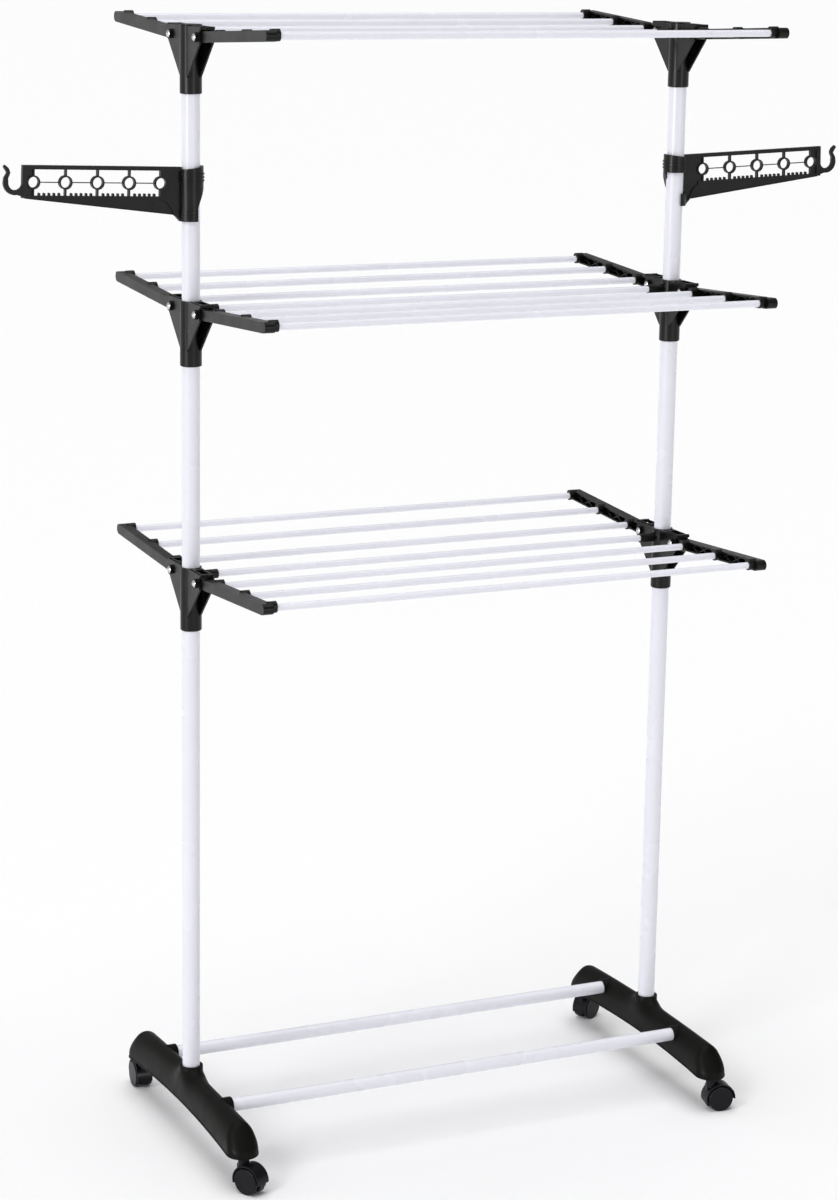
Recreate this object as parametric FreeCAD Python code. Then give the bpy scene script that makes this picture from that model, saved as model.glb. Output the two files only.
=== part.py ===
import FreeCAD, Part
import math
import os

# Clothes drying rack: two posts on castored feet, three tiers, each tier a fixed
# centre rod and two folding wings, and a swivelling hanger on each post.
# Millimetres. +X right, -Y front, +Z up. The origin is on the floor, midway
# between the posts.

V = FreeCAD.Vector

# ---- driving dimensions -------------------------------------------------
POST_SPACING = 750.0
POST_R = 12.5
POST_WALL = 1.2
BAR_R = 9.5
ROD_R = 4.75
ROD_WALL = 0.8
TIER_Z = {"lower": 757.0, "middle": 1128.0, "upper": 1496.0}
SLIDE_FIT = 0.05
HINGE_FIT = 0.08

# coupler: a tube with a plate on each side, which the wings hinge between
COUPLER_H = 90.0
COUPLER_R = 15.0
PLATE_OUT = 10.5
PLATE_T = 2.5
PLATE_HALF = 58.0
PLATE_DROP = 21.0
COLLAR_H = 22.0
STOP_Z = 45.0
STOP_T = 4.0
PIN_Y = 48.0
PIN_H = 77.0
PIN_R = 3.0
PIN_BOSS_R = 6.5
PIN_BOSS_H = 4.0
HEAD_R = 5.0
HEAD_H = 2.4
SOCKET_R = 6.6
CENTRE_SOCKET_L = 39.0
CENTRE_ROD_H = 77.0

# wing arm, in its own frame: pin at the origin, +Y outward, +X outboard
ARM_HALF_W = 7.5
ARM_HALF_H = 7.3
ARM_L = 236.0
ARM_WALL = 2.2
ARM_TILT = 3.2
ROD_AT = (35.5, 128.8, 222.2)
NUB_R = 6.8
NUB_RISE = 2.4
NUB_IN = 15.5
NUB_OUT = 3.5
RIB_T = 1.4

# lock slider on top of each arm's root
LATCH_Z = 87.0
LATCH_TOP = 91.2
LATCH_IN = 22.0
LATCH_HALF_W = 7.7
GRIP_T = 3.4
GRIP_TEETH = 5

# foot
FOOT_END_Y = 196.0
FOOT_END_R = 23.0
FOOT_WAIST = 18.6
FOOT_WALL = 3.0
FOOT_LOW_END = 51.0
FOOT_LOW_MID = 59.0
FOOT_LIP_Z = 60.0
FOOT_BROW_Y = 190.0
FOOT_BROW_Z = 96.0
FOOT_RIDGE_Z = 102.0
FOOT_SIDE_Z = 56.0
FOOT_BOSS_R = 16.6
FOOT_BOSS_TOP = 112.0
FOOT_WAIST_Z = 56.0
POST_FOOT_Z = 66.0
BAR_Y = 110.0
BAR_Z = 88.0
BAR_BOSS_R = 12.5
BAR_BOSS_X = 18.5
BAR_END_X = 3.5

# castor
STEM_Y = 203.0
STEM_R = 4.0
WHEEL_R = 19.0
WHEEL_T = 7.5
WHEEL_GAP = 11.0
TRAIL = 12.0
HOOD_R = 23.0
HOOD_T = 2.2
HOOD_HALF_W = 11.8
AXLE_R = 2.5
SEAT_Z = 47.0
AXLE_HALF = 11.4
STEM_TOP = 70.0

# side hanger, in its own frame: post axis at the origin, +X outward, rings at z 0
HANGER_Z = 1376.0
HANGER_TURN = 2.0
HANGER_RISE = 2.1
RING_FIRST = 44.4
RING_PITCH = 45.2
RING_COUNT = 5
RING_R = 9.3
RING_HOLE_R = 7.15
RAIL_HALF_T = 3.2
WEB_HALF_T = 1.1
RAIL_TOP = 22.4
RAIL_BOTTOM = -20.8
RAIL_H = 5.4
TOOTH_PITCH = 7.0
HOOK_X = 250.4
HOOK_R = 9.6
SLEEVE_R = 12.6
SLEEVE_OUT = 17.2

post_x = POST_SPACING / 2
SIDES = {"left": -1, "right": 1}
ENDS = {"front": -1, "back": 1}


# ---- helpers ------------------------------------------------------------
def block(x0, x1, y0, y1, z0, z1):
    """A box between two corners."""
    return Part.makeBox(x1 - x0, y1 - y0, z1 - z0, V(x0, y0, z0))


def barrel(r, start, end):
    """A round bar between two points."""
    along = end - start
    return Part.makeCylinder(r, along.Length, start, along)


def tube(r, wall, start, end):
    """A hollow bar between two points."""
    return barrel(r, start, end).cut(barrel(r - wall, start, end))


def prism(points, thickness, normal):
    """A flat outline swept by thickness along normal."""
    loop = [V(*p) for p in points]
    face = Part.Face(Part.makePolygon(loop + loop[:1]))
    return face.extrude(normal * thickness)


def fused(solids):
    """One clean solid from overlapping ones."""
    return solids[0].multiFuse(solids[1:]).removeSplitter()


def mirrored(shape, side, end):
    """A shape drawn for the right side and back end, taken to another corner."""
    out = shape
    if side < 0:
        out = out.mirror(V(0, 0, 0), V(1, 0, 0))
    if end < 0:
        out = out.mirror(V(0, 0, 0), V(0, 1, 0))
    return out


def save(node, shape):
    """One STEP file for one node, of one solid or a group of separate solids."""
    solids = shape.Solids
    out = solids[0] if len(solids) == 1 else Part.makeCompound(solids)
    assert all(s.isValid() for s in solids), node
    out.exportStep("parts/%s.step" % node)


# ---- posts, rods and bars -----------------------------------------------
def posts(z0, z1):
    """The left and right tube of one level."""
    return Part.makeCompound([
        tube(POST_R, POST_WALL, V(s * post_x, 0, z0), V(s * post_x, 0, z1))
        for s in SIDES.values()
    ])


def cross_tube(r, wall, half, y, z):
    """A tube along X, centred."""
    return tube(r, wall, V(-half, y, z), V(half, y, z))


# ---- coupler ------------------------------------------------------------
def coupler(z0):
    """The right coupler: tube, two plates, pin bosses and the centre rod's socket."""
    plate_outline = [
        (0, -PLATE_HALF, COUPLER_H), (0, PLATE_HALF, COUPLER_H),
        (0, PLATE_HALF, COUPLER_H - PLATE_DROP), (0, COUPLER_R - 2, COLLAR_H),
        (0, 2 - COUPLER_R, COLLAR_H), (0, -PLATE_HALF, COUPLER_H - PLATE_DROP),
    ]
    plate = prism(plate_outline, PLATE_T, V(1, 0, 0))
    outer = plate.translated(V(PLATE_OUT - PLATE_T, 0, 0))
    inner = plate.translated(V(-PLATE_OUT, 0, 0))
    core = Part.makeCylinder(COUPLER_R, COUPLER_H)
    core = core.makeChamfer(1.0, [core.Edges[2]])
    boss_face = PLATE_OUT + PIN_BOSS_H
    bosses = []
    ledges = []
    for e in ENDS.values():
        for s in SIDES.values():
            bosses.append(barrel(PIN_BOSS_R, V(s * (PLATE_OUT - 1), e * PIN_Y, PIN_H),
                                 V(s * boss_face, e * PIN_Y, PIN_H)))
            near, far = sorted((e * 13.0, e * 36.0))
            left, right = sorted((s * 6.6, s * (PLATE_OUT - 1)))
            ledges.append(block(left, right, near, far, LATCH_Z - 2.2, LATCH_Z - 0.2))
    socket = barrel(SOCKET_R, V(0, 0, CENTRE_ROD_H), V(-CENTRE_SOCKET_L, 0, CENTRE_ROD_H))
    body = fused([core, outer, inner, socket] + bosses + ledges)

    bore = POST_R + SLIDE_FIT
    cuts = [Part.makeCylinder(bore, STOP_Z), Part.makeCylinder(bore, COUPLER_H, V(0, 0, STOP_Z + STOP_T))]
    cuts.append(barrel(ROD_R + SLIDE_FIT, V(-COUPLER_R - 1, 0, CENTRE_ROD_H),
                       V(-CENTRE_SOCKET_L - 1, 0, CENTRE_ROD_H)))
    for e in ENDS.values():
        cuts.append(barrel(PIN_R + SLIDE_FIT, V(-30, e * PIN_Y, PIN_H), V(30, e * PIN_Y, PIN_H)))
    for cut in cuts:
        body = body.cut(cut)
    return body.translated(V(post_x, 0, z0))


def pin(x, y, z):
    """A rivet with a domed head on each side of the coupler."""
    face = PLATE_OUT + PIN_BOSS_H
    shank = barrel(PIN_R, V(-face - 0.5, 0, 0), V(face + 0.5, 0, 0))
    dome_r = (HEAD_R ** 2 + HEAD_H ** 2) / (2 * HEAD_H)
    heads = []
    for s in SIDES.values():
        ball = Part.makeSphere(dome_r, V(s * (face + HEAD_H - dome_r), 0, 0))
        near, far = sorted((s * face, s * (face + HEAD_H + 1)))
        heads.append(ball.common(block(near, far, -HEAD_R - 1, HEAD_R + 1, -HEAD_R - 1, HEAD_R + 1)))
    return fused([shank] + heads).translated(V(x, y, z))


# ---- wing arm -----------------------------------------------------------
def arm():
    """A channel with a pierced root, cross ribs and three rod sockets."""
    w = ARM_HALF_W
    h = ARM_HALF_H
    nose = ARM_L - h
    outline = block(-w, w, 0, nose, -h, h).fuse(
        [barrel(h, V(-w, 0, 0), V(w, 0, 0)), barrel(h, V(-w, nose, 0), V(w, nose, 0))])
    solid = outline.removeSplitter()
    pocket = block(-w - 1, w - ARM_WALL, 12.0, nose, -h + ARM_WALL, h - ARM_WALL)
    body = solid.cut(pocket)
    spans = list(zip((12.0,) + ROD_AT[:-1], ROD_AT))
    ribs = []
    for start, stop in spans:
        bays = 1 if start == 12.0 else 3
        step = (stop - start) / bays
        for i in range(bays):
            y0 = start + i * step
            y1 = y0 + step
            rise = h - ARM_WALL / 2
            for lo, hi in ((-rise, rise), (rise, -rise)):
                rib = [(-w + 2.5, y0, lo), (-w + 2.5, y1, hi),
                       (-w + 2.5, y1, hi + RIB_T), (-w + 2.5, y0, lo + RIB_T)]
                ribs.append(prism(rib, 2 * w - 2.5 - ARM_WALL + 0.5, V(1, 0, 0)).common(solid))
    sockets = []
    for y in ROD_AT:
        low = barrel(NUB_R, V(w - 1, y, 0), V(-NUB_IN, y, 0))
        high = barrel(NUB_R, V(-NUB_OUT, y, NUB_RISE), V(-NUB_IN, y, NUB_RISE))
        sockets += [low, high, block(-NUB_IN, -NUB_OUT, y - NUB_R, y + NUB_R, 0, NUB_RISE)]
    body = fused([body] + ribs + sockets)
    for y in ROD_AT:
        body = body.cut(barrel(ROD_R + SLIDE_FIT, V(w - ARM_WALL, y, 0), V(-NUB_IN - 1, y, 0)))
    return body.cut(barrel(PIN_R + HINGE_FIT, V(-w - 1, 0, 0), V(w + 1, 0, 0)))


def place_on_wing(shape, side, end, tier):
    """Tilt a shape drawn in the wing's frame and take it to its pin."""
    tilted = shape.copy()
    tilted.rotate(V(0, 0, 0), V(1, 0, 0), ARM_TILT)
    tilted.translate(V(post_x, PIN_Y, TIER_Z[tier] + PIN_H))
    return mirrored(tilted, side, end)


def wing_rods(end, tier):
    """The three rods of one wing."""
    half = post_x + ARM_HALF_W - ARM_WALL - 0.4
    tilt = math.radians(ARM_TILT)
    return Part.makeCompound([
        cross_tube(ROD_R, ROD_WALL, half, end * (PIN_Y + at * math.cos(tilt)),
                   TIER_Z[tier] + PIN_H + at * math.sin(tilt))
        for at in ROD_AT
    ])


def latch(side, end, tier):
    """The lock slider: a frame between the plates, with a toothed thumb grip."""
    frame = block(-LATCH_HALF_W, LATCH_HALF_W, LATCH_IN, PLATE_HALF + 1, LATCH_Z, LATCH_TOP)
    window = block(-LATCH_HALF_W + 2, LATCH_HALF_W - 2, LATCH_IN + 6, PLATE_HALF - 2,
                   LATCH_Z - 1, LATCH_TOP + 1)
    grip_y = PLATE_HALF + 0.5
    grip = block(-PLATE_OUT, PLATE_OUT, grip_y, grip_y + GRIP_T, LATCH_Z, LATCH_TOP)
    pitch = 2 * PLATE_OUT / GRIP_TEETH
    teeth = [
        block(-PLATE_OUT + (i + 0.2) * pitch, -PLATE_OUT + (i + 0.8) * pitch,
              grip_y + GRIP_T - 0.5, grip_y + GRIP_T + 1.2, LATCH_Z, LATCH_TOP - 1.2)
        for i in range(GRIP_TEETH)
    ]
    shape = fused([frame.cut(window), grip] + teeth)
    return mirrored(shape.translated(V(post_x, 0, TIER_Z[tier])), side, end)


# ---- foot ---------------------------------------------------------------
def foot_side(inset):
    """The foot's side view, as a solid wider than the foot."""
    tip = FOOT_END_Y + FOOT_END_R - inset + 1.0
    wide = 3 * FOOT_END_R
    floor = 20.0 if inset else 0.0
    low_end = FOOT_LOW_END - floor
    low_mid = FOOT_LOW_MID - floor
    lip = FOOT_LIP_Z - inset
    brow = FOOT_BROW_Z - inset
    brow_y = FOOT_BROW_Y - inset
    edges = [
        Part.Arc(V(0, -tip, low_end), V(0, 0, low_mid), V(0, tip, low_end)).toShape(),
        Part.makeLine(V(0, tip, low_end), V(0, tip, lip)),
        Part.makeLine(V(0, tip, lip), V(0, brow_y, brow)),
        Part.Arc(V(0, brow_y, brow), V(0, 0, FOOT_RIDGE_Z - inset), V(0, -brow_y, brow)).toShape(),
        Part.makeLine(V(0, -brow_y, brow), V(0, -tip, lip)),
        Part.makeLine(V(0, -tip, lip), V(0, -tip, low_end)),
    ]
    face = Part.Face(Part.Wire(edges))
    return face.extrude(V(wide, 0, 0)).translated(V(-wide / 2, 0, 0))


def foot_plan(inset):
    """The foot's top view, as a tall solid: narrow at the post, round at the ends."""
    r = FOOT_END_R - inset
    waist = FOOT_WAIST - inset
    e = FOOT_END_Y
    edges = [
        Part.Arc(V(r, -e, 0), V(waist, 0, 0), V(r, e, 0)).toShape(),
        Part.Arc(V(r, e, 0), V(0, e + r, 0), V(-r, e, 0)).toShape(),
        Part.Arc(V(-r, e, 0), V(-waist, 0, 0), V(-r, -e, 0)).toShape(),
        Part.Arc(V(-r, -e, 0), V(0, -e - r, 0), V(r, -e, 0)).toShape(),
    ]
    return Part.Face(Part.Wire(edges)).extrude(V(0, 0, 150))


def foot_arch(inset):
    """The foot's cross section, as a long solid: steep sides and a rounded back."""
    w = FOOT_END_R - inset
    top = FOOT_RIDGE_Z - inset
    shoulder = w - 7.5
    cheek = w - 2.0
    low = FOOT_SIDE_Z
    reach = FOOT_END_Y + 2 * FOOT_END_R
    edges = [
        Part.makeLine(V(-w, -reach, 20), V(w, -reach, 20)),
        Part.makeLine(V(w, -reach, 20), V(w, -reach, low)),
        Part.Arc(V(w, -reach, low), V(cheek, -reach, 76), V(shoulder, -reach, top - 10)).toShape(),
        Part.Arc(V(shoulder, -reach, top - 10), V(0, -reach, top), V(-shoulder, -reach, top - 10)).toShape(),
        Part.Arc(V(-shoulder, -reach, top - 10), V(-cheek, -reach, 76), V(-w, -reach, low)).toShape(),
        Part.makeLine(V(-w, -reach, low), V(-w, -reach, 20)),
    ]
    return Part.Face(Part.Wire(edges)).extrude(V(0, 2 * reach, 0))


def foot():
    """The right foot: an arched shell with sockets for the post, bars and castors."""
    skin = foot_side(0).common(foot_plan(0)).common(foot_arch(0))
    cavity = foot_side(FOOT_WALL).common(foot_plan(FOOT_WALL)).common(foot_arch(FOOT_WALL))
    shell = skin.cut(cavity)
    boss = Part.makeCylinder(FOOT_BOSS_R, FOOT_BOSS_TOP - FOOT_WAIST_Z, V(0, 0, FOOT_WAIST_Z))
    adds = [shell, boss]
    for e in ENDS.values():
        adds.append(barrel(BAR_BOSS_R, V(0, e * BAR_Y, BAR_Z), V(-BAR_BOSS_X, e * BAR_Y, BAR_Z)))
        adds.append(Part.makeCylinder(9.0, 36.0, V(0, e * STEM_Y, 54.0)).common(skin))
    body = fused(adds)
    cuts = [Part.makeCylinder(POST_R + SLIDE_FIT, 80, V(0, 0, POST_FOOT_Z))]
    for e in ENDS.values():
        cuts.append(barrel(BAR_R + SLIDE_FIT, V(0.5 - BAR_END_X, e * BAR_Y, BAR_Z), V(-40, e * BAR_Y, BAR_Z)))
        cuts.append(Part.makeCylinder(6.0 + SLIDE_FIT, 31.0, V(0, e * STEM_Y, 40.0)))
    for cut in cuts:
        body = body.cut(cut)
    return body.translated(V(post_x, 0, 0))


# ---- castors ------------------------------------------------------------
# heading: the way the wheels trail from the stem, in degrees from +X
HEADINGS = {
    ("left", "front"): -60.0,
    ("left", "back"): 87.0,
    ("right", "front"): -10.0,
    ("right", "back"): 28.0,
}


def castor_place(shape, side, end):
    """Turn a shape drawn with its stem at the origin and its trail along +X."""
    turned = shape.copy()
    turned.rotate(V(0, 0, 0), V(0, 0, 1), HEADINGS[(side, end)])
    turned.translate(V(SIDES[side] * post_x, ENDS[end] * STEM_Y, 0))
    return turned


def hood():
    """A hood over the two wheels, with a rib between them and a boss for the stem."""
    centre = V(TRAIL, 0, WHEEL_R)
    half = HOOD_HALF_W
    y0 = V(TRAIL, -half, WHEEL_R)
    y1 = V(TRAIL, half, WHEEL_R)
    ring = barrel(HOOD_R, y0, y1).cut(barrel(HOOD_R - HOOD_T, y0, y1))
    below = block(TRAIL - 40, TRAIL + 40, -half - 1, half + 1, -20, WHEEL_R - 1)
    below_rear = block(TRAIL - 40, TRAIL, -half - 1, half + 1, -20, WHEEL_R - 6)
    front = ring.cut(below)
    rear = ring.cut(below_rear).common(block(TRAIL - 40, TRAIL, -half, half, 0, 60))
    rib_r = HOOD_R - HOOD_T / 2
    rib = barrel(rib_r, V(TRAIL, -WHEEL_GAP / 2 + 0.4, WHEEL_R), V(TRAIL, WHEEL_GAP / 2 - 0.4, WHEEL_R))
    rib = rib.cut(block(-40, 80, -10, 10, -20, 6.5))
    boss = Part.makeCylinder(8.0, SEAT_Z - 36.0, V(0, 0, 36.0))
    boss = boss.cut(barrel(HOOD_R - HOOD_T, y0, y1))
    saddle = block(-8.0, 8.0, -5.0, 5.0, 24.0, 40.0)
    body = fused([front, rear, rib, boss, saddle])
    body = body.cut(Part.makeCylinder(STEM_R + SLIDE_FIT, 20, V(0, 0, 39.0)))
    return body.cut(barrel(AXLE_R + SLIDE_FIT, centre - V(0, half + 1, 0), centre + V(0, half + 1, 0)))


def steel():
    """The stem and the axle."""
    stem = Part.makeCylinder(STEM_R, STEM_TOP - 39.0, V(0, 0, 39.0))
    axle = barrel(AXLE_R, V(TRAIL, -AXLE_HALF, WHEEL_R), V(TRAIL, AXLE_HALF, WHEEL_R))
    return Part.makeCompound([stem, axle])


def wheels():
    """Two wheels with a closed flat face and rounded rims."""
    out = []
    for s in (-1, 1):
        start = V(TRAIL, s * WHEEL_GAP / 2, WHEEL_R)
        stop = V(TRAIL, s * (WHEEL_GAP / 2 + WHEEL_T), WHEEL_R)
        disc = barrel(WHEEL_R, start, stop)
        rims = [e for e in disc.Edges if e.Length > 2 * WHEEL_R * 3]
        disc = disc.makeFillet(1.4, rims)
        bore = barrel(AXLE_R + HINGE_FIT, start, V(TRAIL, s * (AXLE_HALF + 0.3), WHEEL_R))
        out.append(disc.cut(bore))
    return Part.makeCompound(out)


def socket_sleeve(side, end):
    """The plug in the foot that grips the castor's stem."""
    x = SIDES[side] * post_x
    y = ENDS[end] * STEM_Y
    flange = Part.makeCylinder(8.6, 1.6, V(x, y, 48.6))
    sleeve = Part.makeCylinder(6.0, 22.4, V(x, y, 48.6))
    bore = Part.makeCylinder(STEM_R + HINGE_FIT, 60.0, V(x, y, 40.0))
    return flange.fuse(sleeve).cut(bore).removeSplitter()


# ---- side hanger --------------------------------------------------------
def slab(x0, x1, z0, z1, half_t):
    """A flat piece of the hanger's frame."""
    return block(x0, x1, -half_t, half_t, z0, z1)


def hanger_frame():
    """Rails, ribs, rings and teeth."""
    ring_x = [RING_FIRST + i * RING_PITCH for i in range(RING_COUNT)]
    inner = SLEEVE_OUT - 2.0
    outer = HOOK_X - HOOK_R
    wall_x = outer - 7.0
    low = RAIL_BOTTOM + 3.2
    pieces = [
        slab(inner, outer, RAIL_TOP - RAIL_H, RAIL_TOP, RAIL_HALF_T),
        slab(RING_FIRST - 8, outer, RAIL_BOTTOM, low, RAIL_HALF_T),
        slab(wall_x, outer, RAIL_BOTTOM, RAIL_TOP, RAIL_HALF_T),
        slab(ring_x[0], ring_x[-1], -0.6, 0.6, 1.6),
        slab(inner, ring_x[0], RAIL_BOTTOM - 8, RAIL_TOP - 1, WEB_HALF_T),
        slab(ring_x[-1], wall_x + 1, RAIL_BOTTOM + 1, RAIL_TOP - 1, WEB_HALF_T),
    ]
    for x in ring_x:
        pieces.append(slab(x - 1.1, x + 1.1, low - 1, RAIL_TOP - RAIL_H + 1, RAIL_HALF_T))
        pieces.append(barrel(RING_R, V(x, -RAIL_HALF_T, 0), V(x, RAIL_HALF_T, 0)))
    for x in ring_x[:-1]:
        for i in range(RING_COUNT):
            at = x + RING_PITCH / 2 + (i - 2) * TOOTH_PITCH
            pieces.append(slab(at - 1.5, at + 1.5, low - 1, low + 2.4, 2.0))
            pieces.append(barrel(1.5, V(at, -2.0, low + 2.4), V(at, 2.0, low + 2.4)))
    return pieces, ring_x


def hanger_gusset():
    """The tapering web below the frame, with its curved rib and bottom flange."""
    root_x = SLEEVE_OUT - 2.0
    tip_x = 236.0
    web = prism([(root_x, -WEB_HALF_T, RAIL_BOTTOM + 1), (tip_x, -WEB_HALF_T, RAIL_BOTTOM + 1),
                 (tip_x, -WEB_HALF_T, RAIL_BOTTOM), (25.0, -WEB_HALF_T, -42.0),
                 (root_x, -WEB_HALF_T, -48.0)], 2 * WEB_HALF_T, V(0, 1, 0))
    flange = prism([(tip_x, -2.2, RAIL_BOTTOM + 0.5), (25.0, -2.2, -40.6),
                    (25.0, -2.2, -42.0), (tip_x, -2.2, RAIL_BOTTOM - 0.9)], 4.4, V(0, 1, 0))
    start = V(RING_FIRST + 2, 0, RAIL_BOTTOM + 1.6)
    path = Part.Wire([Part.Arc(start, V(31.5, 0, -27.0), V(24.0, 0, -39.0)).toShape(),
                      Part.makeLine(V(24.0, 0, -39.0), V(15.5, 0, -48.0))])
    section = Part.makePolygon([start + V(0, -RAIL_HALF_T, -1.6), start + V(0, RAIL_HALF_T, -1.6),
                                start + V(0, RAIL_HALF_T, 1.6), start + V(0, -RAIL_HALF_T, 1.6),
                                start + V(0, -RAIL_HALF_T, -1.6)])
    rib = path.makePipeShell([section], True, True)
    return [web, flange, rib]


def hanger_hook():
    """The open hook at the outer end, with a flared tip."""
    c = V(HOOK_X, 0, -1.0)
    outer_r = HOOK_R + 6.6
    low = 5.0
    ring = barrel(outer_r, V(c.x, -low / 2, c.z), V(c.x, low / 2, c.z))
    ring = ring.cut(barrel(HOOK_R, V(c.x, -low, c.z), V(c.x, low, c.z)))
    ring = ring.cut(block(c.x - 40, c.x + 40, -low, low, c.z, c.z + 40))
    tip = prism([(c.x + HOOK_R, -low / 2, c.z), (c.x + outer_r, -low / 2, c.z),
                 (c.x + outer_r - 0.6, -low / 2, 5.0), (c.x + outer_r - 4.6, -low / 2, 12.0),
                 (c.x + outer_r + 0.4, -low / 2, 19.6), (c.x + outer_r - 1.6, -low / 2, 22.4),
                 (c.x + outer_r - 6.6, -low / 2, 18.4), (c.x + HOOK_R - 2.4, -low / 2, 13.0),
                 (c.x + HOOK_R - 1.6, -low / 2, 9.4), (c.x + HOOK_R + 0.4, -low / 2, 5.0)],
                low, V(0, 1, 0))
    shoe = prism([(c.x - HOOK_R - 7, -low / 2, RAIL_BOTTOM), (c.x - 3, -low / 2, -17.0),
                  (c.x - 10, -low / 2, -6.0), (c.x - HOOK_R - 7, -low / 2, 2.0)], low, V(0, 1, 0))
    shoe = shoe.cut(barrel(HOOK_R, V(c.x, -low, c.z), V(c.x, low, c.z)))
    return [ring, tip, shoe]


def hanger_sleeve():
    """The sleeve that grips the post: a ridged band, a skirt and a lower clip."""
    top = 24.0
    bottom = -50.0
    whole = Part.makeCylinder(SLEEVE_OUT, top - bottom, V(0, 0, bottom))
    grooves = []
    for z in (12.5, 8.0, 3.5):
        grooves.append(Part.makeCylinder(SLEEVE_OUT + 1.2, 2.2, V(0, 0, z)))
    for z in (-36.0, -40.0, -44.0, -48.0):
        grooves.append(Part.makeCylinder(SLEEVE_OUT + 0.8, 1.8, V(0, 0, z)))
    body = fused([whole] + grooves)
    slope = prism([(-40, -40, -2.0), (-17, -40, -2.0), (-5.0, -40, -28.0), (-3.8, -40, -33.0),
                   (-3.8, -40, -60.0), (-40, -40, -60.0)], 80.0, V(0, 1, 0))
    before = block(-40, 40, -40, 0, -32.5, -2.0).cut(block(10, 40, -4, 0, -40, 0))
    before_low = block(-40, 4.4, -40, 0, -60, -32.0)
    slit = block(10.2, 40, -40, -4.0, -2.5, top + 1)
    crown = prism([(-40, -40, top), (-SLEEVE_OUT, -40, top), (SLEEVE_OUT, -40, 19.5),
                   (40, -40, 19.5), (40, -40, 60), (-40, -40, 60)], 80.0, V(0, 1, 0))
    for cut in (slope, before, before_low, slit, crown,
                Part.makeCylinder(SLEEVE_R, 200, V(0, 0, -100))):
        body = body.cut(cut)
    return body


def hanger(side):
    """One moulding: the right one is the left one turned half a turn about Z."""
    pieces, ring_x = hanger_frame()
    pieces += hanger_gusset()
    pieces += hanger_hook()
    body = fused(pieces)
    for x in ring_x:
        body = body.cut(barrel(RING_HOLE_R, V(x, -20, 0), V(x, 20, 0)))
    body.rotate(V(0, 0, 0), V(0, 1, 0), -HANGER_RISE)
    body = body.cut(Part.makeCylinder(SLEEVE_R, 200, V(0, 0, -100)))
    body = fused([body, hanger_sleeve()])
    turn = -HANGER_TURN if side > 0 else 180.0 + HANGER_TURN
    body.rotate(V(0, 0, 0), V(0, 0, 1), turn)
    body.translate(V(side * post_x, 0, HANGER_Z))
    return body


# ---- assembly -----------------------------------------------------------
os.makedirs("parts", exist_ok=True)

post_breaks = [POST_FOOT_Z]
for tier_z in TIER_Z.values():
    post_breaks += [tier_z + STOP_Z, tier_z + STOP_Z + STOP_T]
for tier, k in zip(TIER_Z, (0, 2, 4)):
    save(tier + "_posts", posts(post_breaks[k], post_breaks[k + 1]))

bar_half = post_x - BAR_END_X
save("base_bars", Part.makeCompound([
    cross_tube(BAR_R, 1.0, bar_half, e * BAR_Y, BAR_Z) for e in ENDS.values()]))
centre_half = post_x - COUPLER_R - 1.5
save("centre_rods", Part.makeCompound([
    cross_tube(ROD_R, ROD_WALL, centre_half, 0, z + CENTRE_ROD_H) for z in TIER_Z.values()]))
save("wing_pins", Part.makeCompound([
    pin(s * post_x, e * PIN_Y, z + PIN_H)
    for z in TIER_Z.values() for s in SIDES.values() for e in ENDS.values()]))

cap_z = TIER_Z["upper"] + COUPLER_H
save("top_caps", Part.makeCompound([
    Part.makeCylinder(COUPLER_R, 2.0, V(s * post_x, 0, cap_z)).fuse(
        Part.makeCylinder(POST_R, 8.0, V(s * post_x, 0, cap_z - 8.0))).removeSplitter()
    for s in SIDES.values()]))
save("castor_sockets", Part.makeCompound([
    socket_sleeve(side, end) for side in SIDES for end in ENDS]))

right_foot = foot()
arm_shape = arm()
for side, s in SIDES.items():
    save(side + "_foot", mirrored(right_foot, s, 1))
    save(side + "_side_hanger", hanger(s))
    for tier, z in TIER_Z.items():
        save("%s_%s_coupler" % (tier, side), mirrored(coupler(z), s, 1))
        for end, e in ENDS.items():
            name = "%s_%s_%s" % (tier, end, side)
            save(name + "_arm", place_on_wing(arm_shape, s, e, tier))
            save(name + "_latch", latch(s, e, tier))

for tier in TIER_Z:
    for end, e in ENDS.items():
        save("%s_%s_rods" % (tier, end), wing_rods(e, tier))

hood_shape = hood()
steel_shape = steel()
wheel_shape = wheels()
for side in SIDES:
    for end in ENDS:
        name = "%s_%s_castor" % (end, side)
        save(name + "_hood", castor_place(hood_shape, side, end))
        save(name + "_steel", castor_place(steel_shape, side, end))
        save(name + "_wheels", castor_place(wheel_shape, side, end))
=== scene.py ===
import math

import bmesh
import bpy
from mathutils import Euler, Matrix, Vector


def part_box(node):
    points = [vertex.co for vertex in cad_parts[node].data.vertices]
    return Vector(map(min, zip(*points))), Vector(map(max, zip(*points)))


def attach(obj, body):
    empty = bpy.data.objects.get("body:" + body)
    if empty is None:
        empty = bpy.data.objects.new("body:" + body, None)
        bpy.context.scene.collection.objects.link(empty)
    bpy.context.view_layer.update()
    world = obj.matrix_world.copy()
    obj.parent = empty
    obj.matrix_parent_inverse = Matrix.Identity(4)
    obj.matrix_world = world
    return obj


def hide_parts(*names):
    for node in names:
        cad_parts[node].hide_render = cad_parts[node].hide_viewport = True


bl_info = {
    "name": "Clothes drying rack",
    "version": (1, 0, 0),
    "blender": (4, 5, 0),
    "location": "3D View > Sidebar > Drying Rack",
    "description": "Gives the packed drying rack its finishes, its moulded feet and a studio",
    "category": "Object",
}

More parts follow.
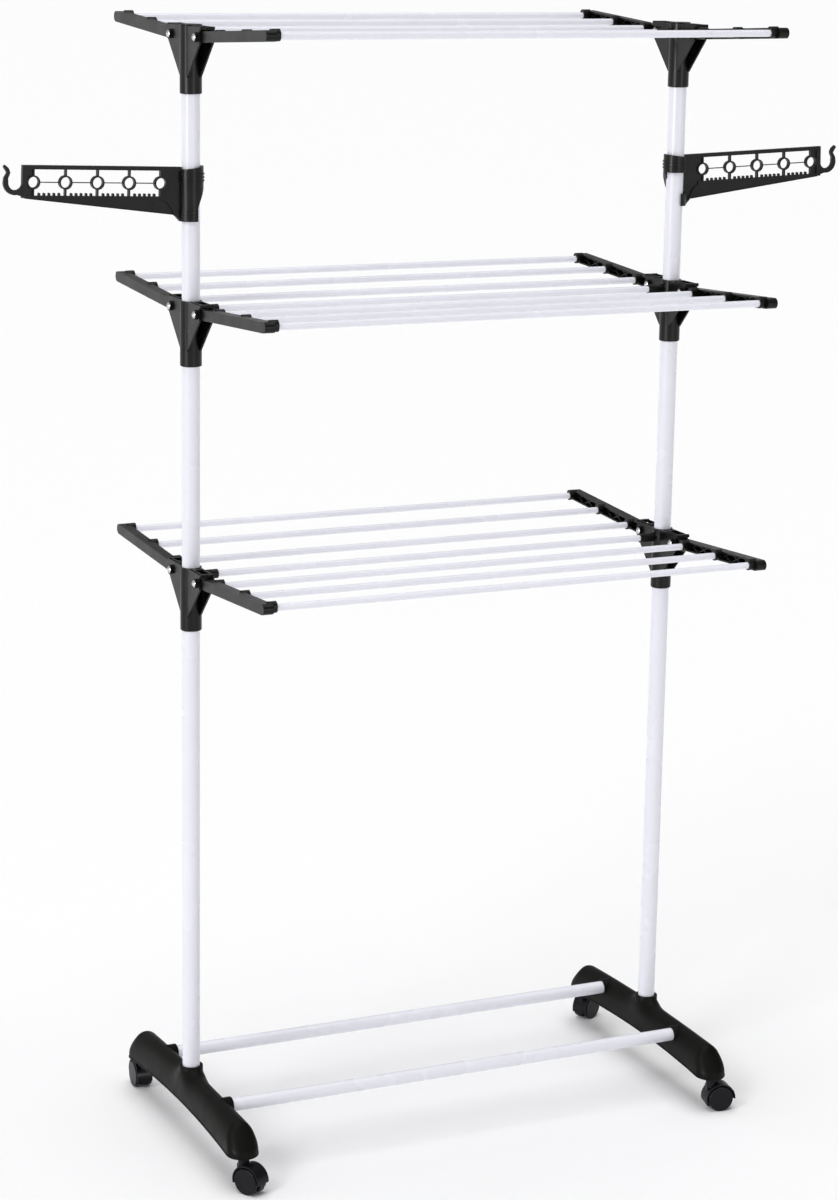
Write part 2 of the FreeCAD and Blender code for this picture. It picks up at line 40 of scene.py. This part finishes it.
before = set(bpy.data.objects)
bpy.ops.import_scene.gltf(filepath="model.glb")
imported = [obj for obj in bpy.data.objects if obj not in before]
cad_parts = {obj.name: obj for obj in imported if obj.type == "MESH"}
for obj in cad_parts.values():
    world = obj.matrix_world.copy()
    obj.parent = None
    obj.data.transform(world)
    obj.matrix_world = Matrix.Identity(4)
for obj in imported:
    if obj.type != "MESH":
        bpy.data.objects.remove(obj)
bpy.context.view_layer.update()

MM = 0.001
WELD = 0.00001
SIDES = {"left": -1, "right": 1}
ENDS = {"front": -1, "back": 1}
TIERS = ("lower", "middle", "upper")
CORNERS = [(side, end) for side in SIDES for end in ENDS]


def linear(code):
    """Turn an sRGB hex colour into linear red, green, blue and alpha."""
    values = [int(code[i:i + 2], 16) / 255 for i in (1, 3, 5)]
    return [v / 12.92 if v <= 0.04045 else ((v + 0.055) / 1.055) ** 2.4 for v in values] + [1.0]


def box_mm(node):
    """The lowest and highest corner of a CAD node, in millimetres."""
    low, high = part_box(node)
    return low / MM, high / MM


FOOT_LOW, FOOT_HIGH = box_mm("right_foot")
POST_X = (FOOT_LOW.x + FOOT_HIGH.x) / 2


# ---- what a user would change ----------------------------------------------
class RackFinish(bpy.types.PropertyGroup):
    powder: bpy.props.FloatVectorProperty(
        name="Powder coat", description="Colour of the coated steel tubes",
        subtype="COLOR", size=4, min=0.0, max=1.0, default=linear("#EEEEF7"))
    moulding: bpy.props.FloatVectorProperty(
        name="Moulding", description="Colour of the couplers, arms, feet and hangers",
        subtype="COLOR", size=4, min=0.0, max=1.0, default=linear("#0D0D0B"))
    castor: bpy.props.FloatVectorProperty(
        name="Castor nylon", description="Colour of the castor hoods and wheels",
        subtype="COLOR", size=4, min=0.0, max=1.0, default=linear("#0D0D13"))
    zinc: bpy.props.FloatVectorProperty(
        name="Zinc plate", description="Colour of the rivets, stems and axles",
        subtype="COLOR", size=4, min=0.0, max=1.0, default=linear("#D6D6DA"))


class RackSizes(bpy.types.PropertyGroup):
    edge: bpy.props.FloatProperty(
        name="Moulded edge", description="Radius on the outer edges of the moulded parts",
        unit="LENGTH", min=0.0, max=0.002, default=0.0005)
    peel: bpy.props.FloatProperty(
        name="Orange peel", description="Spacing of the ripple in the powder coat",
        unit="LENGTH", min=0.001, max=0.02, default=0.004)
    grain: bpy.props.FloatProperty(
        name="Mould grain", description="Spacing of the spark-eroded grain on the mouldings",
        unit="LENGTH", min=0.0005, max=0.01, default=0.0018)
    wall: bpy.props.FloatProperty(
        name="Foot wall", description="Thickness of the foot's rim underneath",
        unit="LENGTH", min=0.001, max=0.006, default=0.003)


class RackStage(bpy.types.PropertyGroup):
    floor: bpy.props.FloatVectorProperty(
        name="Floor", description="Colour of the plain floor",
        subtype="COLOR", size=4, min=0.0, max=1.0, default=linear("#FBFBFC"))
    key: bpy.props.FloatProperty(
        name="Key light", description="Strength of the soft light from the front left",
        min=0.0, max=20.0, default=0.8)
    top: bpy.props.FloatProperty(
        name="Top light", description="Strength of the overhead light that whitens the floor",
        min=0.0, max=20.0, default=1.45)
    streak: bpy.props.FloatProperty(
        name="Strip light", description="Strength of the narrow strips that only show in gloss",
        min=0.0, max=20.0, default=1.8)
    dome: bpy.props.FloatProperty(
        name="Dome", description="Strength of the even light all round",
        min=0.0, max=5.0, default=0.42)
    lens: bpy.props.FloatProperty(
        name="Lens", description="Focal length on a 36 mm long side",
        unit="CAMERA", min=20.0, max=300.0, default=92.09)


# ---- materials ---------------------------------------------------------------
# the part of a noise pattern's 0 to 1 that it really reaches
NOISE_LOW = 0.3
NOISE_HIGH = 0.7


def add(tree, kind, settings=None, links=None):
    """Add a node. Names in small letters are its own settings, others are inputs."""
    node = tree.nodes.new(kind)
    for name, value in (settings or {}).items():
        if name[0].islower():
            setattr(node, name, value)
        else:
            node.inputs[name].default_value = value
    for name, source in (links or {}).items():
        tree.links.new(source, node.inputs[name])
    return node


def blank(name):
    """A new material holding one shader, and that shader."""
    made = bpy.data.materials.new(name)
    made.use_nodes = True
    made.node_tree.nodes.clear()
    shader = add(made.node_tree, "ShaderNodeBsdfPrincipled")
    add(made.node_tree, "ShaderNodeOutputMaterial", links={"Surface": shader.outputs["BSDF"]})
    return made, shader


def per_metre(length):
    """The pattern scale that puts one feature in each length."""
    return 1.0 / length


def shade_between(tree, factor, colour, darker, lighter):
    """A colour that wanders between a darker and a lighter share of itself."""
    ramp = add(tree, "ShaderNodeValToRGB", links={"Fac": factor})
    for stop, share, place in zip(ramp.color_ramp.elements, (darker, lighter),
                                  (NOISE_LOW, NOISE_HIGH)):
        stop.color = [min(1.0, c * share) for c in colour[:3]] + [1.0]
        stop.position = place
    return ramp.outputs["Color"]


def powder_coat(finish, sizes):
    """White polyester powder coat, sprayed and baked on drawn steel tube.

    A soft, slightly rippled gloss: highlights run along each tube with a faint waver.
    """
    made, shader = blank("polyester_powder_coat")
    tree = made.node_tree
    place = add(tree, "ShaderNodeTexCoord").outputs["Object"]
    # the real ripple is about 1 mm; it is drawn 4 mm wide so that it shows
    peel = add(tree, "ShaderNodeTexNoise",
               {"Scale": per_metre(sizes.peel), "Detail": 2.0, "Roughness": 0.45}, {"Vector": place})
    tone = add(tree, "ShaderNodeTexNoise",
               {"Scale": per_metre(0.09), "Detail": 3.0}, {"Vector": place})
    bump = add(tree, "ShaderNodeBump", {"Strength": 0.12, "Distance": 0.0004},
               {"Height": peel.outputs["Fac"]})
    gloss = add(tree, "ShaderNodeMapRange",
                {"From Min": NOISE_LOW, "From Max": NOISE_HIGH, "To Min": 0.22, "To Max": 0.3},
                {"Value": tone.outputs["Fac"]})
    colour = shade_between(tree, tone.outputs["Fac"], finish.powder, 0.985, 1.01)
    tree.links.new(colour, shader.inputs["Base Color"])
    tree.links.new(gloss.outputs["Result"], shader.inputs["Roughness"])
    tree.links.new(bump.outputs["Normal"], shader.inputs["Normal"])
    shader.inputs["IOR"].default_value = 1.5
    shader.inputs["Coat Weight"].default_value = 0.3
    shader.inputs["Coat Roughness"].default_value = 0.12
    return made


def moulded_plastic(name, colour, sizes, roughness, grain_depth, gloss_level):
    """Black polypropylene, injection moulded in a spark-eroded tool.

    A dark satin skin: broad soft highlights, broken by a fine even grain, with
    slow changes of gloss where the melt flowed.
    """
    made, shader = blank(name)
    tree = made.node_tree
    place = add(tree, "ShaderNodeTexCoord").outputs["Object"]
    # the tool's grain is 0.2 mm; it is drawn 1.8 mm wide so that it shows
    grain = add(tree, "ShaderNodeTexNoise",
                {"Scale": per_metre(sizes.grain), "Detail": 3.0, "Roughness": 0.6},
                {"Vector": place})
    flow = add(tree, "ShaderNodeTexNoise",
               {"Scale": per_metre(0.035), "Detail": 4.0, "Distortion": 0.6},
               {"Vector": place})
    bump = add(tree, "ShaderNodeBump", {"Strength": grain_depth, "Distance": 0.0003},
               {"Height": grain.outputs["Fac"]})
    gloss = add(tree, "ShaderNodeMapRange",
                {"From Min": NOISE_LOW, "From Max": NOISE_HIGH, "To Min": roughness - 0.05,
                 "To Max": roughness + 0.06},
                {"Value": flow.outputs["Fac"]})
    tone = shade_between(tree, flow.outputs["Fac"], colour, 0.88, 1.15)
    tree.links.new(tone, shader.inputs["Base Color"])
    tree.links.new(gloss.outputs["Result"], shader.inputs["Roughness"])
    tree.links.new(bump.outputs["Normal"], shader.inputs["Normal"])
    shader.inputs["IOR"].default_value = 1.49
    shader.inputs["Specular IOR Level"].default_value = gloss_level
    return made


def zinc_plate(finish):
    """Bright zinc on cold-headed steel rivets and turned pins.

    Silvery and a little hazy, with faint turning rings that stretch the highlight.
    """
    made, shader = blank("bright_zinc_plated_steel")
    tree = made.node_tree
    place = add(tree, "ShaderNodeTexCoord").outputs["Object"]
    haze = add(tree, "ShaderNodeTexNoise",
               {"Scale": per_metre(0.0012), "Detail": 2.0}, {"Vector": place})
    gloss = add(tree, "ShaderNodeMapRange",
                {"From Min": NOISE_LOW, "From Max": NOISE_HIGH, "To Min": 0.2, "To Max": 0.34},
                {"Value": haze.outputs["Fac"]})
    colour = shade_between(tree, haze.outputs["Fac"], finish.zinc, 0.9, 1.0)
    tree.links.new(colour, shader.inputs["Base Color"])
    tree.links.new(gloss.outputs["Result"], shader.inputs["Roughness"])
    shader.inputs["Metallic"].default_value = 1.0
    return made


def finish_of(kind):
    """The material for a kind of piece, made the first time it is asked for."""
    scene = bpy.context.scene
    finish, sizes = scene.rack_finish, scene.rack_sizes
    names = {
        "powder": "polyester_powder_coat",
        "moulding": "moulded_polypropylene",
        "matte": "moulded_polypropylene_matte",
        "castor": "moulded_nylon",
        "zinc": "bright_zinc_plated_steel",
    }
    made = bpy.data.materials.get(names[kind])
    if made:
        return made
    if kind == "powder":
        return powder_coat(finish, sizes)
    if kind == "zinc":
        return zinc_plate(finish)
    if kind == "castor":
        return moulded_plastic(names[kind], finish.castor, sizes,
                               roughness=0.34, grain_depth=0.08, gloss_level=0.17)
    if kind == "matte":
        return moulded_plastic(names[kind], finish.moulding, sizes,
                               roughness=0.44, grain_depth=0.2, gloss_level=0.08)
    return moulded_plastic(names[kind], finish.moulding, sizes,
                           roughness=0.31, grain_depth=0.12, gloss_level=0.22)


# ---- dressing CAD nodes ------------------------------------------------------
def coat(obj, kind):
    """Give every face of an object one finish."""
    obj.data.materials.clear()
    obj.data.materials.append(finish_of(kind))


def dress(node, kind, edge=0.0):
    """Give a CAD node its finish, and round its edges where it is moulded."""
    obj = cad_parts[node]
    coat(obj, kind)
    weld = obj.modifiers.new("join_faces", "WELD")
    weld.merge_threshold = WELD
    if edge > 0:
        flat = obj.modifiers.new("whole_faces", "DECIMATE")
        flat.decimate_type = "DISSOLVE"
        flat.angle_limit = math.radians(0.5)
        bevel = obj.modifiers.new("moulded_edge", "BEVEL")
        bevel.limit_method = "ANGLE"
        bevel.angle_limit = math.radians(40)
        bevel.width = edge
        bevel.segments = 2
    smooth = obj.modifiers.new("soft_shading", "WEIGHTED_NORMAL")
    smooth.keep_sharp = True
    return obj


# ---- mesh helpers --------------------------------------------------------------
def shade(mesh, angle):
    """Smooth shading that breaks at edges sharper than angle degrees."""
    mesh.polygons.foreach_set("use_smooth", [True] * len(mesh.polygons))
    mesh.set_sharp_from_angle(angle=math.radians(angle))


def new_piece(name, bm, kind, body):
    """Turn a bmesh drawn in millimetres into a finished piece that rides on a body."""
    mesh = bpy.data.meshes.new(name)
    bmesh.ops.recalc_face_normals(bm, faces=bm.faces)
    bmesh.ops.scale(bm, vec=(MM, MM, MM), verts=bm.verts)
    bm.to_mesh(mesh)
    bm.free()
    shade(mesh, angle=35)
    obj = bpy.data.objects.new(name, mesh)
    bpy.context.scene.collection.objects.link(obj)
    coat(obj, kind)
    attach(obj, body)
    return obj


def skin_rings(bm, rings, closed):
    """Join rings of points with faces; the ends are capped unless the row is closed."""
    rows = [[bm.verts.new(p) for p in ring] for ring in rings]
    pairs = list(zip(rows, rows[1:] + rows[:1])) if closed else list(zip(rows, rows[1:]))
    for a, b in pairs:
        for i in range(len(a)):
            j = (i + 1) % len(a)
            bm.faces.new((a[i], a[j], b[j], b[i]))
    if not closed:
        bm.faces.new(rows[0])
        bm.faces.new(rows[-1])


def lathe(bm, profile, place, steps=64):
    """Turn a closed profile of (radius, height) points about Z, then place it."""
    rings = []
    for i in range(steps):
        a = 2 * math.pi * i / steps
        rings.append([place @ Vector((r * math.cos(a), r * math.sin(a), h)) for r, h in profile])
    skin_rings(bm, rings, True)


# ---- foot ---------------------------------------------------------------------
# millimetres, with the foot's post on the Z axis
FOOT_END_R = 23.0
FOOT_WAIST = 18.6
END_Y = FOOT_HIGH.y - FOOT_END_R
TIP_Y = FOOT_HIGH.y
# the bead along the lower edge, and the hollow underneath
BEAD = 0.7
BEAD_H = 2.2
BEAD_ROUND = 0.5
BEAD_STEP = 0.6
RECESS = 9.0
RECESS_RUN_OUT = 9.0
RECESS_STOP = 4.0
# side view: the arch below, the back, and the brow where the nose starts
LOW_MID = 59.0
LOW_END = 51.0
RIDGE_Z = 102.0
BROW_Y = 190.0
BROW_Z = 96.0
BROW_SOFT = 1.2
LIP_Z = 60.0
# cross section: a higher power makes squarer shoulders
ARCH_POWER = 2.6
NECK_POWER = 4.0
NECK_REACH = 26.0
# the flare that rises to the post socket
BOSS_R = 16.6
BOSS_TOP = 112.0
FLARE_R = 16.0
FLARE_TOP = 111.2
FLARE_DROP = 6.0
FLARE_REACH = 9.0
FLARE_SLOPE = 0.35
FLARE_SOFT = 2.0
# sockets for the post and the base bars
POST_HOLE_R = 12.9
POST_SOCKET_Z = 84.0
BAR_Y = 110.0
BAR_Z = 88.0
BAR_HOLE_R = 9.9
BAR_BOSS_R = 12.5
BAR_BOSS_X = 18.5
# how finely the foot is drawn
SECTION_STEPS = 18
END_STEPS = 22
BAR_STEPS = 48


def foot_half_width(y, inset=0.0):
    """Half of the foot's width in plan at a place along it."""
    if abs(y) > END_Y:
        return math.sqrt(max((FOOT_END_R - inset) ** 2 - (abs(y) - END_Y) ** 2, 0.0))
    share = abs(y) / END_Y
    return FOOT_WAIST + (FOOT_END_R - FOOT_WAIST) * share ** 2 - inset


def foot_bottom(y):
    """Height of the foot's lower edge: a shallow arch."""
    return LOW_MID - (LOW_MID - LOW_END) * (y / TIP_Y) ** 2


def foot_ridge(y):
    """Height of the foot's back: nearly level to a brow, then a straight sloping nose."""
    back = (RIDGE_Z - BROW_Z) * (1.0 - (y / BROW_Y) ** 2)
    nose = -(BROW_Z - LIP_Z) * (abs(y) - BROW_Y) / (TIP_Y + 1.0 - BROW_Y)
    return BROW_Z - BROW_SOFT * math.log(math.exp(-back / BROW_SOFT) + math.exp(-nose / BROW_SOFT))


def foot_top(x, y):
    """Height of the foot's back with the flare that rises to the post."""
    out = max(math.hypot(x, y) - FLARE_R, 0.0)
    flare = FLARE_TOP - FLARE_DROP * (1.0 - math.exp(-out / FLARE_REACH)) - FLARE_SLOPE * out
    ridge = foot_ridge(y)
    return FLARE_SOFT * math.log(math.exp(ridge / FLARE_SOFT) + math.exp(flare / FLARE_SOFT))


def foot_section(y):
    """Points round the foot at one place: hollow, bead, flank, back, and down again."""
    w = foot_half_width(y)
    low = foot_bottom(y)
    inner = max(foot_half_width(y, bpy.context.scene.rack_sizes.wall / MM), 0.3 * w)
    depth = 0.05 + RECESS * min(1.0, max(TIP_Y - RECESS_STOP - abs(y), 0.0) / RECESS_RUN_OUT)
    bead = min(BEAD, 0.2 * w)
    power = ARCH_POWER + NECK_POWER * math.exp(-(y / NECK_REACH) ** 2)
    start = low + BEAD_H + BEAD_STEP
    back = []
    for i in range(SECTION_STEPS + 1):
        rise = math.sin(0.5 * math.pi * i / SECTION_STEPS)
        x = w * max(1.0 - rise ** power, 0.0) ** 0.5
        back.append((x, start + (foot_top(x, y) - start) * rise))
    edge = [(w + bead - 0.4, low), (w + bead, low + BEAD_ROUND),
            (w + bead, low + BEAD_H - BEAD_ROUND), (w + bead - 0.3, low + BEAD_H), (w, low + BEAD_H)]
    right = [(inner, low + depth), (inner, low)] + edge + back
    ring = [Vector((x, y, z)) for x, z in right]
    ring += [Vector((-x, y, z)) for x, z in reversed(right[:-1])]
    return ring


def foot_stations():
    """Places along the foot, closer together at the post and round the ends."""
    places = [END_Y + FOOT_END_R * math.sin(math.radians(88.0) * (1 - i / END_STEPS))
              for i in range(END_STEPS + 1)]
    y = END_Y - 2.0
    while y > 0.5:
        places.append(y)
        if y > BROW_Y - 12.0:
            y -= 4.0
        elif y > 48.0:
            y -= 7.6
        else:
            y -= 2.0
    return places + [0.0] + [-y for y in reversed(places)]


def post_socket():
    """Half section of the sleeve round the post, as radius and height."""
    return [(POST_HOLE_R, POST_SOCKET_Z), (BOSS_R, POST_SOCKET_Z), (BOSS_R + 0.4, BOSS_TOP - 1.6),
            (BOSS_R, BOSS_TOP - 0.3), (BOSS_R - 0.8, BOSS_TOP),
            (POST_HOLE_R + 0.7, BOSS_TOP), (POST_HOLE_R, BOSS_TOP - 0.6)]


def bar_socket():
    """Half section of a base bar's sleeve, as radius and distance from the post."""
    return [(BAR_HOLE_R, 4.0), (BAR_BOSS_R, 4.0), (BAR_BOSS_R, BAR_BOSS_X - 1.2),
            (BAR_BOSS_R - 0.4, BAR_BOSS_X - 0.3), (BAR_BOSS_R - 1.1, BAR_BOSS_X),
            (BAR_HOLE_R + 0.5, BAR_BOSS_X), (BAR_HOLE_R, BAR_BOSS_X - 0.5)]


class RACK_OT_feet(bpy.types.Operator):
    """Mould the two long feet with their post sockets and bar sockets"""
    bl_idname = "rack.feet"
    bl_label = "Feet"

    def execute(self, context):
        inward = Euler((0, -math.pi / 2, 0)).to_matrix().to_4x4()
        for side, s in SIDES.items():
            bm = bmesh.new()
            skin_rings(bm, [foot_section(y) for y in foot_stations()], False)
            lathe(bm, post_socket(), Matrix.Identity(4))
            for e in ENDS.values():
                lathe(bm, bar_socket(), Matrix.Translation((0, e * BAR_Y, BAR_Z)) @ inward, BAR_STEPS)
            move = Matrix.Translation((s * POST_X, 0, 0)) @ Matrix.Diagonal((s, 1, 1, 1))
            bmesh.ops.transform(bm, matrix=move, verts=bm.verts)
            foot = new_piece(side + "_moulded_foot", bm, "matte", "frame")
            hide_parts(side + "_foot")
        return {"FINISHED"}


# ---- CAD pieces that keep their shape ------------------------------------------
class RACK_OT_tubes(bpy.types.Operator):
    """Coat the posts, base bars, centre rods and wing rods"""
    bl_idname = "rack.tubes"
    bl_label = "Tubes"

    def execute(self, context):
        names = ["base_bars", "centre_rods"] + [tier + "_posts" for tier in TIERS]
        names += ["%s_%s_rods" % (tier, end) for tier in TIERS for end in ENDS]
        for name in names:
            dress(name, "powder")
        return {"FINISHED"}


class RACK_OT_couplers(bpy.types.Operator):
    """Finish the six couplers and the caps on top"""
    bl_idname = "rack.couplers"
    bl_label = "Couplers and caps"

    def execute(self, context):
        edge = context.scene.rack_sizes.edge
        for tier in TIERS:
            for side in SIDES:
                dress("%s_%s_coupler" % (tier, side), "moulding", edge)
        dress("top_caps", "moulding", edge)
        return {"FINISHED"}


class RACK_OT_wings(bpy.types.Operator):
    """Finish the twelve wing arms and their lock sliders"""
    bl_idname = "rack.wings"
    bl_label = "Wing arms and locks"

    def execute(self, context):
        edge = context.scene.rack_sizes.edge
        for tier in TIERS:
            for side, end in CORNERS:
                dress("%s_%s_%s_arm" % (tier, end, side), "moulding", edge)
                dress("%s_%s_%s_latch" % (tier, end, side), "moulding", edge * 0.6)
        return {"FINISHED"}


class RACK_OT_rivets(bpy.types.Operator):
    """Plate the rivets that the wings turn on"""
    bl_idname = "rack.rivets"
    bl_label = "Rivets"

    def execute(self, context):
        dress("wing_pins", "zinc")
        return {"FINISHED"}


class RACK_OT_hangers(bpy.types.Operator):
    """Finish the two swivelling side hangers"""
    bl_idname = "rack.hangers"
    bl_label = "Side hangers"

    def execute(self, context):
        for side in SIDES:
            dress(side + "_side_hanger", "moulding", context.scene.rack_sizes.edge)
        return {"FINISHED"}


class RACK_OT_castors(bpy.types.Operator):
    """Finish the castor sockets, hoods, stems, axles and wheels"""
    bl_idname = "rack.castors"
    bl_label = "Castors"

    def execute(self, context):
        edge = context.scene.rack_sizes.edge
        dress("castor_sockets", "castor", edge)
        for side, end in CORNERS:
            name = "%s_%s_castor" % (end, side)
            dress(name + "_hood", "castor", edge)
            dress(name + "_steel", "zinc")
            dress(name + "_wheels", "castor", edge)
        return {"FINISHED"}


# ---- stage --------------------------------------------------------------------
# metres, and the camera's turn to the right, down and clockwise
FLOOR_R = 90.0
CAMERA_PLACE = (-1.8668, -3.8947, 1.7731)
CAMERA_YAW = math.radians(25.319)
CAMERA_PITCH = math.radians(13.108)
CAMERA_ROLL = math.radians(0.967)


def sun(name, strength, spread, turn, gloss_only=False):
    """A distant light that shines along -Z, turned and spread by angles in degrees."""
    data = bpy.data.lights.new(name, "SUN")
    data.energy = strength
    data.angle = math.radians(spread)
    obj = bpy.data.objects.new(name, data)
    obj.rotation_euler = Euler([math.radians(a) for a in turn])
    obj.visible_diffuse = not gloss_only
    bpy.context.scene.collection.objects.link(obj)


def soft_dome(strength):
    """An even studio surround, brighter on the left of the rack than on the right."""
    world = bpy.data.worlds.new("soft_dome")
    bpy.context.scene.world = world
    world.use_nodes = True
    tree = world.node_tree
    tree.nodes.clear()
    place = add(tree, "ShaderNodeTexCoord").outputs["Generated"]
    split = add(tree, "ShaderNodeSeparateXYZ", links={"Vector": place})
    side = add(tree, "ShaderNodeMapRange",
               {"From Min": -0.9, "From Max": 0.9, "To Min": strength * 1.5, "To Max": strength * 0.5},
               {"Value": split.outputs["X"]})
    # a white band along the horizon, so that the floor fades into the wall behind it
    band = add(tree, "ShaderNodeMapRange",
               {"From Min": 0.02, "From Max": 0.13, "To Min": 1.0, "To Max": 0.0},
               {"Value": split.outputs["Z"]})
    mixed = add(tree, "ShaderNodeMix", {"B": 0.95},
                {"Factor": band.outputs["Result"], "A": side.outputs["Result"]})
    glow = add(tree, "ShaderNodeBackground", {"Color": linear("#FFFFFF")},
               {"Strength": mixed.outputs["Result"]})
    add(tree, "ShaderNodeOutputWorld", links={"Surface": glow.outputs["Background"]})


def camera_turn():
    """The camera's turn: it looks along its -Z with its own +Y up."""
    level = math.cos(CAMERA_PITCH)
    ahead = Vector((math.sin(CAMERA_YAW) * level, math.cos(CAMERA_YAW) * level, -math.sin(CAMERA_PITCH)))
    right = Vector((math.cos(CAMERA_YAW), -math.sin(CAMERA_YAW), 0.0))
    up = right.cross(ahead)
    tipped_right = math.cos(CAMERA_ROLL) * right + math.sin(CAMERA_ROLL) * up
    tipped_up = math.cos(CAMERA_ROLL) * up - math.sin(CAMERA_ROLL) * right
    return Matrix((tipped_right, tipped_up, -ahead)).transposed().to_4x4()


class RACK_OT_stage(bpy.types.Operator):
    """Lay the floor and set the lights and the camera"""
    bl_idname = "rack.stage"
    bl_label = "Stage"

    def execute(self, context):
        scene = context.scene
        stage = scene.rack_stage
        bm = bmesh.new()
        bmesh.ops.create_circle(bm, cap_ends=True, segments=96, radius=FLOOR_R)
        mesh = bpy.data.meshes.new("studio_floor")
        bm.to_mesh(mesh)
        bm.free()
        floor = bpy.data.objects.new("studio_floor", mesh)
        scene.collection.objects.link(floor)
        paint, shader = blank("matt_white_floor_paint")
        shader.inputs["Base Color"].default_value = stage.floor
        shader.inputs["Roughness"].default_value = 0.9
        mesh.materials.append(paint)

        soft_dome(stage.dome)
        sun("key_light", stage.key, spread=20, turn=(53, 0, -62))
        sun("top_light", stage.top, spread=50, turn=(0, 0, 0))
        sun("left_strip", stage.streak, spread=6, turn=(86, 0, -70), gloss_only=True)
        sun("right_strip", stage.streak * 0.4, spread=5, turn=(84, 0, 10), gloss_only=True)

        data = bpy.data.cameras.new("camera")
        data.lens = stage.lens
        data.sensor_width = 36.0
        camera = bpy.data.objects.new("camera", data)
        camera.matrix_world = Matrix.Translation(CAMERA_PLACE) @ camera_turn()
        scene.collection.objects.link(camera)
        scene.camera = camera
        scene.view_settings.view_transform = "Standard"
        return {"FINISHED"}


# ---- panel and running -----------------------------------------------------------
class RACK_PT_panel(bpy.types.Panel):
    """Sizes, colours and steps of the drying rack"""
    bl_label = "Drying rack"
    bl_idname = "RACK_PT_panel"
    bl_space_type = "VIEW_3D"
    bl_region_type = "UI"
    bl_category = "Drying Rack"

    def draw(self, context):
        scene = context.scene
        for group in (scene.rack_finish, scene.rack_sizes, scene.rack_stage):
            for name in group.__annotations__:
                self.layout.prop(group, name)
        for step in STEPS:
            self.layout.operator(step.bl_idname)


STEPS = (RACK_OT_tubes, RACK_OT_couplers, RACK_OT_wings, RACK_OT_rivets, RACK_OT_hangers,
         RACK_OT_feet, RACK_OT_castors, RACK_OT_stage)
GROUPS = {"rack_finish": RackFinish, "rack_sizes": RackSizes, "rack_stage": RackStage}


def register():
    for cls in (*GROUPS.values(), *STEPS, RACK_PT_panel):
        bpy.utils.register_class(cls)
    for name, group in GROUPS.items():
        setattr(bpy.types.Scene, name, bpy.props.PointerProperty(type=group))


def unregister():
    for name in GROUPS:
        delattr(bpy.types.Scene, name)
    for cls in (RACK_PT_panel, *reversed(STEPS), *reversed(GROUPS.values())):
        bpy.utils.unregister_class(cls)


def main():
    register()
    bpy.ops.rack.tubes()
    bpy.ops.rack.couplers()
    bpy.ops.rack.wings()
    bpy.ops.rack.rivets()
    bpy.ops.rack.hangers()
    bpy.ops.rack.feet()
    bpy.ops.rack.castors()
    bpy.ops.rack.stage()


if __name__ == "__main__":
    main()
